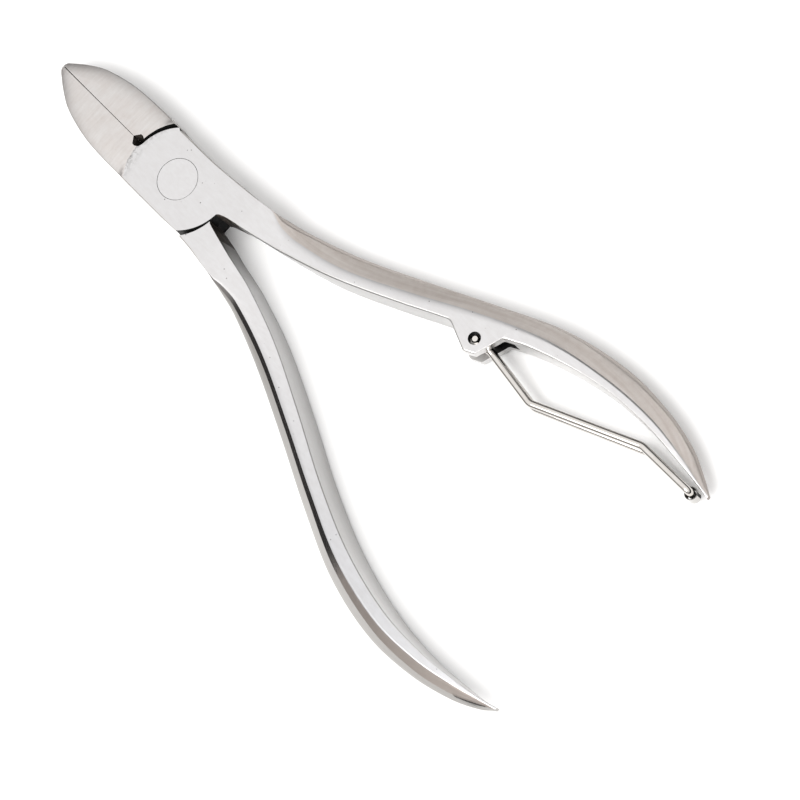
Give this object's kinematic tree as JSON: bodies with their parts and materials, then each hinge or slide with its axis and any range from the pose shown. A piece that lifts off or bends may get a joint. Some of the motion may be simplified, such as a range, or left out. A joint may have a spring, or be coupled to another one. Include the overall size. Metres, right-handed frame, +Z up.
{
  "type": "toenail nipper",
  "caption": "Steel lap-joint toenail nipper with straight ground jaws, a flush pivot rivet, bowed handles and a wire bail with a roller.",
  "frame": {"origin": "on the pivot axis, at the flush lower face of the rivet, which is the face the nipper rests on", "axes": "+Y from the pivot to the jaw tips, +Z up along the pivot axis, +X towards the handle that carries the bail"},
  "size_m": [0.0607, 0.1404, 0.007],
  "materials": {
    "satin_steel": "satin",
    "rivet_steel": "satin",
    "bright_wire": "polished"
  },
  "bodies": {
    "lug_lever_body": {"lever_with_lug": "satin_steel", "pivot_rivet": "rivet_steel"},
    "plain_lever_body": {"lever_plain": "satin_steel"},
    "bail_body": {"wire_bail": "bright_wire"},
    "roller_body": {"bail_roller": "bright_wire"}
  },
  "joints": [
    {"name": "jaw_opening", "type": "hinge", "parent": "lug_lever_body", "child": "plain_lever_body", "pos_m": [0, 0, 0.0035], "axis": [0, 0, -1], "range_deg": [0, 25]},
    {"name": "bail_swing", "type": "hinge", "parent": "lug_lever_body", "child": "bail_body", "pos_m": [0.01573, -0.06006, 0.0035], "axis": [0, 0, -1], "range_deg": [0, 66]},
    {"name": "roller_spin", "type": "hinge", "parent": "bail_body", "child": "roller_body", "pos_m": [0.02206, -0.10545, 0.0035], "axis": [0, 0, 1], "continuous": true}
  ]
}
